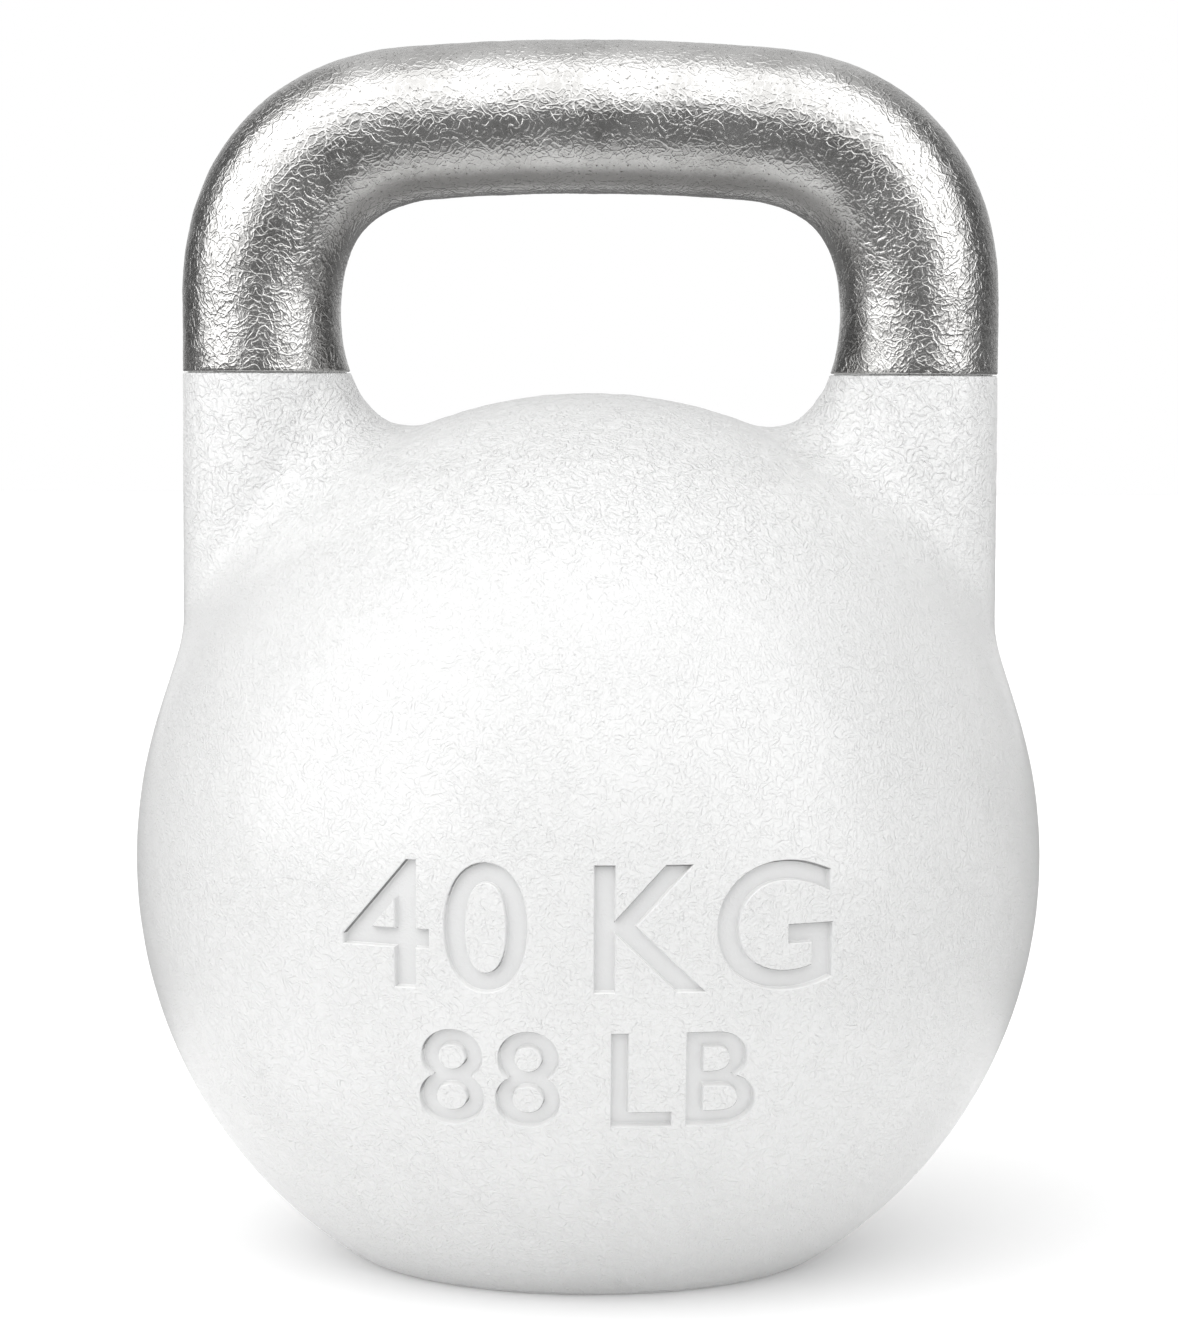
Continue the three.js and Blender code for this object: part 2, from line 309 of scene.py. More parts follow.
def voxelSkin():
    piece = makePiece("rough", roughBell())
    remesh = piece.modifiers.new("remesh", "REMESH")
    remesh.mode = "VOXEL"
    remesh.voxel_size = bell["voxel"]
    evaluated = piece.evaluated_get(bpy.context.evaluated_depsgraph_get())
    mesh = bpy.data.meshes.new_from_object(evaluated)
    rough = piece.data
    bpy.data.objects.remove(piece)
    bpy.data.meshes.remove(rough)
    points = numbersOf(mesh.vertices, "co")
    edges = np.zeros(len(mesh.edges) * 2, int)
    mesh.edges.foreach_get("vertices", edges)
    a, b = edges.reshape(-1, 2).T
    count = np.bincount(a, minlength=len(points)) + np.bincount(b, minlength=len(points))
    points = ontoSkin(points, plainSkin, 8)
    for _ in range(bell["relaxRounds"]):
        sums = np.stack([
            np.bincount(a, points[b, i], len(points)) + np.bincount(b, points[a, i], len(points))
            for i in range(3)
        ], 1)
        points = ontoSkin(points + 0.5 * (sums / count[:, None] - points), plainSkin, 2)
    # points close to a cutting height move to it, so that the cut leaves no slivers
    for height in (jointHeight - bell["rimRound"], bellBaseHeight()):
        close = np.abs(points[:, 2] - height) < bell["snap"] * bell["voxel"]
        points[close, 2] = height
        points[close] = ontoSkin(points[close], plainSkin, 4, level=True)
    level = np.abs(points[:, 2] - (jointHeight - bell["rimRound"])) < 1e-7
    level |= np.abs(points[:, 2] - bellBaseHeight()) < 1e-7
    points[~level] = ontoSkin(points[~level], skin, 3)
    points[level] = ontoSkin(points[level], skin, 3, level=True)
    mesh.vertices.foreach_set("co", points.ravel())
    mesh.update()
    return mesh


# Height at which the ball's curve gives way to the rounded edge of the base.
def bellBaseHeight():
    centre, tall = skinShape["centreHeight"], skinShape["halfHeight"]
    radius = ballRadius * math.sqrt(1 - (centre / tall)**2)
    lean = math.atan2(radius / ballRadius**2, centre / tall**2)
    return bell["baseEdge"] * math.sin(lean)


def cutAt(work, height, keepBelow):
    normal = Vector((0, 0, 1 if keepBelow else -1))
    geometry = work.verts[:] + work.edges[:] + work.faces[:]
    bmesh.ops.bisect_plane(
        work, geom=geometry, dist=1e-6, plane_co=(0, 0, height), plane_no=normal, clear_outer=True
    )


def openLoop(work, height, centreX, reach):
    found = set()
    for edge in work.edges:
        if edge.is_boundary:
            for vertex in edge.verts:
                if abs(vertex.co.z - height) < 1e-5 and abs(vertex.co.x - centreX) < reach:
                    found.add(vertex)
    return sorted(found, key=lambda v: math.atan2(v.co.y, v.co.x - centreX))


# Grows new rings from an open edge, then closes it; each ring is given as (step inwards, height).
def growRings(work, loop, centreX, rings):
    count = len(loop)
    for inset, height in rings:
        fresh = []
        for vertex in loop:
            away = Vector((vertex.co.x - centreX, vertex.co.y, 0))
            reach = away.length
            place = Vector((centreX, 0, height)) + away * ((reach - inset) / reach)
            fresh.append(work.verts.new(place))
        for i in range(count):
            j = (i + 1) % count
            work.faces.new((loop[i], loop[j], fresh[j], fresh[i]))
        loop = fresh
    work.faces.new(loop)


def bellSkin():
    mesh = voxelSkin()
    work = bmesh.new()
    work.from_mesh(mesh)
    bpy.data.meshes.remove(mesh)
    rimStart = jointHeight - bell["rimRound"]
    baseStart = bellBaseHeight()
    cutAt(work, rimStart, True)
    cutAt(work, baseStart, False)
    bmesh.ops.remove_doubles(work, verts=work.verts[:], dist=0.02 * mm)
    for side in (-1, 1):
        loop = openLoop(work, rimStart, side * legX, 2 * legRadius)
        rings, past = [], 0
        for step in range(1, bell["rimSteps"] + 1):
            turn = step / bell["rimSteps"] * math.pi / 2
            inset = bell["rimRound"] * (1 - math.cos(turn))
            rings.append((inset - past, rimStart + bell["rimRound"] * math.sin(turn)))
            past = inset
        rings.append((bell["landInset"] - past, jointHeight))
        rings.append((0.02 * mm, jointHeight + bell["landHeight"]))
        growRings(work, loop, side * legX, rings)
    loop = openLoop(work, baseStart, 0, ballRadius)
    edgeRadius = loop[0].co.xy.length
    sharpRadius = bell["baseFlat"] + bell["baseEdge"]
    rings, past = [], edgeRadius
    for step in range(1, bell["baseSteps"] + 1):
        t = step / bell["baseSteps"]
        radius = (1 - t)**2 * edgeRadius + 2 * t * (1 - t) * sharpRadius + t * t * bell["baseFlat"]
        rings.append((past - radius, (1 - t)**2 * baseStart))
        past = radius
    growRings(work, loop, 0, rings)
    bmesh.ops.recalc_face_normals(work, faces=work.faces[:])
    skinMesh = bpy.data.meshes.new("bell_shell")
    work.to_mesh(skinMesh)
    work.free()
    return skinMesh


weightMark = {
    "rows": (("40 KG", 27 * mm, 75.5 * mm), ("88 LB", 21 * mm, 45.5 * mm)),  # text, letter height, foot
    "stroke": 0.3 * mm,  # added to each side of a stroke
    "spacing": 1.08,
    "wordSpacing": 0.7,
    "depth": 1.6 * mm,
    "rim": 0.3 * mm,
    "cell": 2.2 * mm,  # the tool is cut into cells of this size before it is bent round the ball
    "cellStart": 0.37,  # share of a cell before the first cut, so that no cut runs along an edge
    "curveSteps": 10,
    "merge": 0.004,  # outline points closer than this, in letter units, become one
    "mitre": 0.2,  # a lower value lets sharp corners grow further
}


def textFaces(text):
    curve = bpy.data.curves.new("mark", "FONT")
    curve.body = text
    curve.align_x = "CENTER"
    curve.resolution_u = weightMark["curveSteps"]
    curve.space_character = weightMark["spacing"]
    curve.space_word = weightMark["wordSpacing"]
    piece = bpy.data.objects.new("mark", curve)
    bpy.context.scene.collection.objects.link(piece)
    bpy.context.view_layer.update()
    evaluated = piece.evaluated_get(bpy.context.evaluated_depsgraph_get())
    mesh = bpy.data.meshes.new_from_object(evaluated)
    bpy.data.objects.remove(piece)
    bpy.data.curves.remove(curve)
    work = bmesh.new()
    work.from_mesh(mesh)
    bpy.data.meshes.remove(mesh)
    bmesh.ops.remove_doubles(work, verts=work.verts[:], dist=weightMark["merge"])
    for face in work.faces:
        if face.normal.z < 0:
            face.normal_flip()
    return work


# Which way each outline point moves when the letter grows.
def outlineNormals(work):
    pushes = {v.index: [] for v in work.verts}
    for edge in work.edges:
        if edge.is_boundary:
            face = edge.link_faces[0]
            along = edge.verts[1].co - edge.verts[0].co
            out = Vector((along.y, -along.x)).normalized()
            middle = (edge.verts[0].co + edge.verts[1].co) / 2
            if out.dot((face.calc_center_median() - middle).xy) > 0:
                out = -out
            for vertex in edge.verts:
                pushes[vertex.index].append(out)
    normals = {}
    for index, pair in pushes.items():
        total = sum(pair, Vector((0, 0)))
        normals[index] = total / max(1 + pair[0].dot(pair[1]), weightMark["mitre"])
    return normals


def letterTool(text, height, foot):
    work = textFaces(text)
    work.verts.index_update()
    normals = outlineNormals(work)
    flat = np.array([v.co[:] for v in work.verts])
    size = height / (flat[:, 1].max() - flat[:, 1].min())
    middle = (flat[:, 0].max() + flat[:, 0].min()) / 2
    bottom = flat[:, 1].min()
    depth, rim, stroke = weightMark["depth"], weightMark["rim"], weightMark["stroke"]
    levels = [(stroke - 0.22 * mm, -depth), (stroke - 0.06 * mm, 0.2 * mm - depth), (stroke, -rim)]
    for turn in (28, 50, 68):
        spread = 1 - math.cos(math.radians(turn))
        levels.append((stroke + rim * spread, rim * (math.sin(math.radians(turn)) - 1)))
    levels.append((levels[-1][0] + 0.3 * mm, 0.7 * mm))
    vertices = []
    for push, lift in levels:
        for i, co in enumerate(flat):
            out = normals[i] * push
            x, z = (co[0] - middle) * size + out.x, (co[1] - bottom) * size + foot + out.y
            vertices.append((x, lift, z))
    count = len(flat)
    top = (len(levels) - 1) * count
    faces = []
    for face in work.faces:
        around = [v.index for v in face.verts]
        faces.append(around)
        faces.append([top + i for i in reversed(around)])
    for edge in work.edges:
        if edge.is_boundary:
            corner = edge.link_loops[0]
            a, b = corner.vert.index, corner.link_loop_next.vert.index
            for low in range(0, top, count):
                faces.append((low + b, low + a, low + count + a, low + count + b))
    work.free()
    mesh = meshFrom("letters", vertices, faces)
    cells = bmesh.new()
    cells.from_mesh(mesh)
    bpy.data.meshes.remove(mesh)
    low, high = np.min(vertices, 0), np.max(vertices, 0)
    cell = weightMark["cell"]
    for axis in (0, 2):
        normal = Vector((1, 0, 0) if axis == 0 else (0, 0, 1))
        for place in np.arange(low[axis] + weightMark["cellStart"] * cell, high[axis], cell):
            geometry = cells.verts[:] + cells.edges[:] + cells.faces[:]
            bmesh.ops.bisect_plane(
                cells, geom=geometry, dist=1e-7, plane_co=normal * place, plane_no=normal
            )
    bmesh.ops.triangulate(cells, faces=cells.faces[:])
    places = np.array([v.co[:] for v in cells.verts])
    lift = places[:, 1].copy()
    onBall = places.copy()
    onBall[:, 1] = -ballRadius * np.sqrt(np.maximum(
        1 - (places[:, 0] / ballRadius)**2
        - ((places[:, 2] - skinShape["centreHeight"]) / skinShape["halfHeight"])**2, 0))
    slope = slopeOf(plainSkin, onBall)
    slope /= np.linalg.norm(slope, axis=1)[:, None]
    bent = onBall + slope * lift[:, None]
    for vertex, place in zip(cells.verts, bent):
        vertex.co = place
    # bending round the front turned the faces inside out
    bmesh.ops.reverse_faces(cells, faces=cells.faces[:])
    tool = bpy.data.meshes.new("letters")
    cells.to_mesh(tool)
    cells.free()
    return tool


def hollowTools():
    wide, tall = bell["cavity"]
    centre, floor = skinShape["centreHeight"], bell["floorHeight"]
    start = math.asin((floor - centre) / tall)
    angles = np.linspace(start, math.pi / 2, 72)[:-1]
    cavity = [(wide * math.cos(a), centre + tall * math.sin(a)) for a in angles]
    boreRadius, boreTop = bell["counterbore"]
    opening = bell["opening"]
    lockRadius, lockTop = bell["lockHole"]
    over = bell["overrun"]
    lockHole = [(lockRadius, -over), (lockRadius, lockTop)]
    tools = [
        turnedMesh("cavity", cavity, bell["cavitySides"]),
        turnedMesh("counterbore", [
            (boreRadius + 1.6 * mm, -over), (boreRadius, 0.6 * mm), (boreRadius, boreTop),
        ], bell["boreSides"]),
        turnedMesh("opening", [
            (opening + 0.6 * mm, boreTop - 0.5 * mm), (opening + 0.6 * mm, boreTop),
            (opening, boreTop + 0.6 * mm), (opening, floor + over),
        ], bell["boreSides"]),
        turnedMesh("lockHole", lockHole, bell["lockSides"], lockPlace),
    ]
    socketRadius, socketFloor = bell["socket"]
    seatRadius, seatHeight = bell["seat"]
    for side in (-1, 1):
        place = (side * legX, 0)
        tools.append(turnedMesh("socket", [
            (socketRadius - 0.5 * mm, socketFloor), (socketRadius, socketFloor + 0.5 * mm),
            (socketRadius, jointHeight - 0.5 * mm), (socketRadius + 1 * mm, jointHeight + 0.5 * mm),
        ], bell["socketSides"], place))
        hole = bell["screwHole"]
        profile = [(hole, seatHeight - 2 * over), (hole, socketFloor + over)]
        tools.append(turnedMesh("hole", profile, bell["holeSides"], place))
        profile = [(seatRadius, centre), (seatRadius, seatHeight)]
        tools.append(turnedMesh("seat", profile, bell["socketSides"], place))
    return tools


# Exact normals on the outer skin, so that the cuts leave no marks in its gloss.
def skinNormals(mesh):
    mesh.shade_smooth()
    mesh.set_sharp_from_angle(angle=math.radians(bell["sharp"]))
    points = numbersOf(mesh.vertices, "co")
    onSkin = np.abs(skin(points)) < bell["onSkin"]
    slope = slopeOf(skin, points)
    slope /= np.maximum(np.linalg.norm(slope, axis=1), 1e-9)[:, None]
    faceNormals = numbersOf(mesh.polygons, "normal")
    starts = np.zeros(len(mesh.polygons), int)
    totals = np.zeros(len(mesh.polygons), int)
    mesh.polygons.foreach_get("loop_start", starts)
    mesh.polygons.foreach_get("loop_total", totals)
    corners = np.zeros(len(mesh.loops), int)
    mesh.loops.foreach_get("vertex_index", corners)
    owner = np.repeat(np.arange(len(totals)), totals)
    facing = (faceNormals[owner] * slope[corners]).sum(1)
    held = onSkin[corners] & (facing > bell["facing"])
    whole = np.bincount(owner, held, len(totals)) == totals
    normals = np.where((held & whole[owner])[:, None], slope[corners], 0)
    mesh.normals_split_custom_set(normals.tolist())


def makeBell(materials):
    piece = makePiece("bell_shell_visual", bellSkin(), "white_enamel", "bell_shell")
    for material in materials:
        piece.data.materials.append(material)
    print("bell skin", len(piece.data.polygons), "faces")
    for text, height, foot in weightMark["rows"]:
        carve(piece, letterTool(text, height, foot), 1)
    for tool in hollowTools():
        carve(piece, tool, 2)
    skinNormals(piece.data)
    print("bell finished", len(piece.data.polygons), "faces")
    return piece


bar = {
    "legRadius": 18.3 * mm,
    "bendRadius": 18.7 * mm,
    "gripRadius": 17.65 * mm,
    "bendStart": 220.5 * mm,
    "crownRadius": 471 * mm,
    "crownHalfSpan": 39 * mm,
    "easeLeg": 0.636,
    "easeGrip": 0.6,
    "sides": 216,
    "ringStep": 0.54 * mm,
    "chamfer": 0.3 * mm,
    "spigotRadius": 11 * mm,
    "spigotEnd": 174.6 * mm,
    "tapTop": 198.6 * mm,
    "wrinkle": (0.05 * mm, 2.4 * mm),  # height and spacing of the skin's coarse ridges
    "swell": (0.03 * mm, 9 * mm),
    "smoothing": 12,  # radii are averaged over this many rings each way
    "sharp": 40,
    "innerFrom": (0.60, 0.80),  # the strip of painted shade towards the window, across the bar: where it starts
    "innerTo": (0.86, 0.98),  # and where it ends
    "innerLegs": 0.8,  # its strength on the legs, and what the grip adds
    "innerGrip": 0.4,
}


# Middle line of the bar in the XZ plane from the left joint to the right, in even steps.
def barLine():
    crownTop = handleHigh.z - bar["gripRadius"]
    radius, span = bar["crownRadius"], bar["crownHalfSpan"]
    turn = math.asin(span / radius)
    crownEnd = np.array([span, crownTop - radius * (1 - math.cos(turn))])
    legTop = np.array([legX, bar["bendStart"]])
    reach = crownEnd - legTop
    legHandle = legTop + [0, bar["easeLeg"] * reach[1]]
    gripHandle = crownEnd + np.array([math.cos(turn), -math.sin(turn)]) * bar["easeGrip"] * -reach[0]
    t = np.linspace(0, 1, 400)[:, None]
    bend = (1 - t)**3 * legTop + 3 * (1 - t)**2 * t * legHandle
    bend = bend + 3 * (1 - t) * t**2 * gripHandle + t**3 * crownEnd
    angles = np.linspace(turn, 0, 200)[1:]
    crown = np.stack([radius * np.sin(angles), crownTop - radius * (1 - np.cos(angles))], 1)
    foot = np.array([[legX, handleBottom() + bar["chamfer"]]])
    right = np.concatenate([foot, bend, crown])
    left = right[::-1][1:] * [-1, 1]
    line = np.concatenate([right, left])[::-1]
    along = np.concatenate([[0], np.cumsum(np.linalg.norm(np.diff(line, axis=0), axis=1))])
    count = int(along[-1] / bar["ringStep"]) // 2 * 2 + 1
    even = np.linspace(0, along[-1], count)
    return np.stack([np.interp(even, along, line[:, 0]), np.interp(even, along, line[:, 1])], 1)


def handleBottom():
    return jointHeight + gap


def barRadii(line):
    share = np.clip((legX - np.abs(line[:, 0])) / (legX - bar["crownHalfSpan"]), 0, 1)**0.5
    leg, bend, grip = bar["legRadius"], bar["bendRadius"], bar["gripRadius"]
    radii = leg + (4 * bend - 3 * leg - grip) * share + 2 * (leg + grip - 2 * bend) * share**2
    window = np.hanning(2 * bar["smoothing"] + 1)
    padded = np.pad(radii, bar["smoothing"], mode="edge")
    return np.convolve(padded, window / window.sum(), mode="valid")


def makeHandle(material):
    line = barLine()
    tangent = np.gradient(line, axis=0)
    tangent /= np.linalg.norm(tangent, axis=1)[:, None]
    outward = np.stack([-tangent[:, 1], tangent[:, 0]], 1)
    radii = barRadii(line)
    angles = np.linspace(0, 2 * math.pi, bar["sides"], endpoint=False)
    side, depth = np.cos(angles), np.sin(angles)
    middle = np.stack([line[:, 0], np.zeros(len(line)), line[:, 1]], 1)
    out3 = np.stack([outward[:, 0], np.zeros(len(line)), outward[:, 1]], 1)
    spokes = out3[:, None, :] * side[None, :, None] + np.array([0, 1, 0]) * depth[None, :, None]
    rings = middle[:, None, :] + spokes * radii[:, None, None]
    # close to the joint the bar carries on the horn's own curve
    low = line[:, 1] < bar["bendStart"]
    flat = rings[low].reshape(-1, 3)
    rings[low] = ontoSkin(flat, plainSkin, 6, level=True).reshape(-1, bar["sides"], 3)
    every = rings.reshape(-1, 3)
    wrinkleHeight, wrinkleWave = bar["wrinkle"]
    swellHeight, swellWave = bar["swell"]
    lines = 1 - np.minimum(np.abs(swell(every, wrinkleWave, 11)) / 0.55, 1)
    lines = smoothStep(lines, 0, 1)
    away = (lines - 0.35) * wrinkleHeight + swellHeight * swell(every, swellWave, 12)
    away *= smoothStep(every[:, 2], handleBottom() + 0.2 * mm, handleBottom() + 1.2 * mm)
    rings += spokes * away.reshape(len(line), -1, 1)
    ends = []
    for first in (True, False):
        ring = rings[0] if first else rings[-1]
        centre = np.array([-legX if first else legX, 0, 0])
        spoke = (ring - centre) * [1, 1, 0]
        reach = np.linalg.norm(spoke, axis=1)[:, None]
        spoke = spoke / reach
        bottom, chamfer = handleBottom(), bar["chamfer"]
        spigot, spigotEnd = bar["spigotRadius"], bar["spigotEnd"]
        tap = screwRadius + gap
        steps = [(reach - 0.12 * mm, bottom + 0.1 * mm), (reach - chamfer, bottom)]
        plain = [
            (spigot + 0.4 * mm, bottom), (spigot, bottom - 0.4 * mm), (spigot, spigotEnd + 1 * mm),
            (spigot - 1 * mm, spigotEnd), (tap + 0.6 * mm, spigotEnd), (tap, spigotEnd + 0.6 * mm),
            (tap, bar["tapTop"]), (0.3 * mm, bar["tapTop"] + 3 * mm),
        ]
        steps += [(np.full_like(reach, r), z) for r, z in plain]
        built = [centre + spoke * r + np.array([0, 0, z]) for r, z in steps]
        ends.append(built)
    mesh = ringMesh("handle", ends[0][::-1] + list(rings) + ends[1])
    # 1 on the side towards the window, where the steel's colour is darkened as painted shade
    inner = np.zeros((len(rings) + len(ends[0]) * 2, bar["sides"]))
    towards = smoothStep(-side, *bar["innerFrom"]) * (1 - smoothStep(-side, *bar["innerTo"]))
    grip = smoothStep(legX - np.abs(line[:, 0]), 5 * mm, 30 * mm)
    inner[len(ends[0]):-len(ends[0])] = towards * (bar["innerLegs"] + bar["innerGrip"] * grip[:, None])
    mesh.attributes.new("inner", "FLOAT", "POINT").data.foreach_set("value", inner.ravel())
    mesh.shade_smooth()
    mesh.set_sharp_from_angle(angle=math.radians(bar["sharp"]))
    mesh.materials.append(material)
    print("handle", len(mesh.polygons), "faces")
    return makePiece("handle_visual", mesh, "bare_steel", "handle")


plug = {
    "keyWidth": 17 * mm,
    "keyDepth": 8 * mm,
    "flangeTop": 4.1 * mm,
    "bodyRadius": 32 * mm,
    "pitch": 2 * mm,
    "threadDepth": 0.9 * mm,
    "markRadius": 24 * mm,  # shallow ring turned in the face
    "sides": 144,
    "sharp": 24,
}


def hexagonMesh(name, width, levels):
    rings = []
    angles = np.radians(np.arange(6) * 60)
    for grow, height in levels:
        reach = (width / 2 + grow) / math.cos(math.pi / 6)
        rings.append(np.stack([reach * np.cos(angles), reach * np.sin(angles), np.full(6, height)], 1))
    return ringMesh(name, rings)


def makePlug(material):
    rim = plugHigh.x
    low, top = plugLow.z, plugHigh.z
    body, thread = plug["bodyRadius"], plug["threadDepth"]
    mark = plug["markRadius"]
    profile = [
        (0.5 * mm, low), (mark, low), (mark + 0.4 * mm, low + 0.25 * mm),
        (mark + 1.2 * mm, low + 0.25 * mm), (mark + 1.6 * mm, low),
        (rim - 0.6 * mm, low), (rim - 0.18 * mm, low + 0.18 * mm), (rim, low + 0.6 * mm),
        (rim, plug["flangeTop"] - 0.3 * mm), (rim - 0.3 * mm, plug["flangeTop"]),
        (body - thread, plug["flangeTop"]), (body - thread, plug["flangeTop"] + 1 * mm),
    ]
    height = plug["flangeTop"] + 1.4 * mm
    while height + plug["pitch"] < top - 0.3 * mm:
        root = height + plug["pitch"] * 0.6
        profile += [(body, height), (body, height + 0.25 * mm), (body - thread, root)]
        height += plug["pitch"]
    profile += [(body - thread, top - 0.5 * mm), (body - thread - 0.5 * mm, top), (0.5 * mm, top)]
    mesh = turnedMesh("base_plug", profile, plug["sides"])
    piece = makePiece("base_plug_visual", mesh, "black_steel", "base_plug")
    piece.data.materials.append(material)
    depth = plug["keyDepth"]
    levels = [(0.9 * mm, low - 0.3 * mm), (0, low + 0.6 * mm), (0, low + depth)]
    carve(piece, hexagonMesh("key", plug["keyWidth"], levels), 0)
    lockRadius, lockTop = bell["lockHole"]
    profile = [(lockRadius, low - bell["overrun"]), (lockRadius, lockTop)]
    carve(piece, turnedMesh("lock", profile, bell["lockSides"], lockPlace), 0)
    piece.data.shade_smooth()
    piece.data.set_sharp_from_angle(angle=math.radians(plug["sharp"]))
    return piece


lockScrew = {
    "keyWidth": 2 * mm,
    "keyDepth": 2.5 * mm,
    "pitch": 0.7 * mm,
    "threadDepth": 0.25 * mm,
    "sides": 40,
}


def makeLockScrew(material):
    radius = (lockHigh.x - lockLow.x) / 2
    low, top = lockLow.z, lockHigh.z
    root = radius - lockScrew["threadDepth"]
    profile = [(0.1 * mm, low), (root, low), (radius, low + 0.3 * mm)]
    height, pitch = low + 0.45 * mm, lockScrew["pitch"]
    while height + pitch < top - 0.6 * mm:
        profile += [(root, height + 0.3 * pitch), (radius, height + 0.9 * pitch)]
        height += pitch
    profile += [(root, top - 0.5 * mm), (root - 0.4 * mm, top), (0.1 * mm, top - 0.5 * mm)]
    mesh = turnedMesh("plug_lock_screw", profile, lockScrew["sides"], lockPlace)
    piece = makePiece("plug_lock_screw_visual", mesh, "black_steel", "plug_lock_screw")
    piece.data.materials.append(material)
    levels = [(0.15 * mm, low - 0.1 * mm), (0, low + 0.1 * mm), (0, low + lockScrew["keyDepth"])]
    key = hexagonMesh("key", lockScrew["keyWidth"], levels)
    key.transform(Matrix.Translation((*lockPlace, 0)))
    carve(piece, key, 0)
    piece.data.shade_smooth()
    piece.data.set_sharp_from_angle(angle=math.radians(plug["sharp"]))
    return piece


# A shader socket that can be added, multiplied and passed on like a number.
class Wire:
    def __init__(self, tree, socket=None):
        self.tree = tree
        self.socket = socket

    def node(self, kind, inputs=None, output=0, **settings):
        made = self.tree.nodes.new(kind)
        for name, value in settings.items():
            setattr(made, name, value)
        for name, value in (inputs or {}).items():
            if isinstance(value, Wire):
                self.tree.links.new(value.socket, made.inputs[name])
            else:
                made.inputs[name].default_value = value
        return Wire(self.tree, made.outputs[output] if len(made.outputs) else None)

    def maths(self, operation, *values):
        return self.node("ShaderNodeMath", dict(enumerate(values)), operation=operation)

    def vector(self, operation, *values, output=0):
        return self.node("ShaderNodeVectorMath", dict(enumerate(values)), output, operation=operation)

    def __add__(self, other):
        return self.maths("ADD", self, other)

    __radd__ = __add__

    def __sub__(self, other):
        return self.maths("SUBTRACT", self, other)

    def __rsub__(self, other):
        return self.maths("SUBTRACT", other, self)

    def __mul__(self, other):
        return self.maths("MULTIPLY", self, other)

    __rmul__ = __mul__

    def __abs__(self):
        return self.maths("ABSOLUTE", self)

    def smooth(self, low, high):
        inputs = {"Value": self, "From Min": low, "From Max": high}
        return self.node("ShaderNodeMapRange", inputs, interpolation_type="SMOOTHSTEP")

    def split(self):
        apart = self.node("ShaderNodeSeparateXYZ", {0: self})
        return [Wire(self.tree, socket) for socket in apart.socket.node.outputs]

    def colourMix(self, first, second):
        inputs = {0: self, 6: colourOf(first), 7: colourOf(second)}
        return self.node("ShaderNodeMix", inputs, 2, data_type="RGBA")

    def noise(self, size, detail=0.0, roughness=0.5, output=0, shift=(0, 0, 0)):
        place = self.vector("ADD", self, shift)
        inputs = {"Vector": place, "Scale": 1 / size, "Detail": detail, "Roughness": roughness}
        return self.node("ShaderNodeTexNoise", inputs, output)


def colourOf(value):
    return value if isinstance(value, Wire) else (*value, 1)


def newMaterial(name):
    material = bpy.data.materials.new(name)
    material.use_nodes = True
    tree = material.node_tree
    tree.nodes.clear()
    place = Wire(tree).node("ShaderNodeTexCoord", output=3)  # the object's own place, in metres
    return material, tree, place


def finishMaterial(tree, sockets):
    shader = Wire(tree).node("ShaderNodeBsdfPrincipled", sockets)
    Wire(tree).node("ShaderNodeOutputMaterial", {"Surface": shader})


def bump(height, distance):
    return height.node("ShaderNodeBump", {"Height": height, "Distance": distance, "Strength": 1.0})


# Thin winding ridges, as a cast skin has: lines where a warped noise crosses its middle.
def ridges(place, size, width, seed):
    warp = place.noise(size * 2.2, output=1, shift=(seed, 0, 0))
    centred = warp.vector("SUBTRACT", warp, (0.5, 0.5, 0.5))
    push = warp.vector("MULTIPLY", centred, (size * 1.1,) * 3)
    bent = place.vector("ADD", place, push)
    first = abs(bent.noise(size, shift=(seed, 0.7, 0)) - 0.5)
    second = abs(bent.noise(size * 0.8, shift=(0, seed, 0.4)) - 0.5)
    return 1 - first.smooth(0, width), 1 - second.smooth(0, width)


enamelFinish = {
    "colour": (0.775, 0.776, 0.774),
    "paintedLightColour": (0.85, 0.851, 0.849),  # painted light: a lighter colour on the horns and the top of the ball
    "letterColour": (0.735, 0.737, 0.737),
    "paintedShadeWall": (0.15, 0.15, 0.15),  # painted shade on the letter walls that face down
    # painted highlight on the letter walls that face up
    "paintedHighlightWall": (0.86, 0.86, 0.855),
    "ridgeSize": 1.55 * mm,
    "ridgeWidth": 0.12,  # share of the noise's range that a ridge takes up
    "ridgeHeight": 0.165 * mm,
    "hornHeight": 0.28 * mm,
    "hornFrom": (130 * mm, 185 * mm),  # heights over which the horns' coarser ridges come in
    "upperFrom": (135 * mm, 190 * mm),
    "inLetters": 0.2,  # share of the ridges' height left inside the letters
    "roughness": 0.42,
    "coat": 0.6,
    "coatRoughness": 0.18,
    # wear through the enamel at the base, which also serves as painted shade along the base edge
    "wearAndShadeColour": (0.30, 0.295, 0.285),
    "wearAndShadeHeight": (0.1 * mm, 1.3 * mm),  # scuffs fade out between these heights above the floor
    "wearAndShadeShare": 0.62,  # a higher value scuffs more of the base ring
}


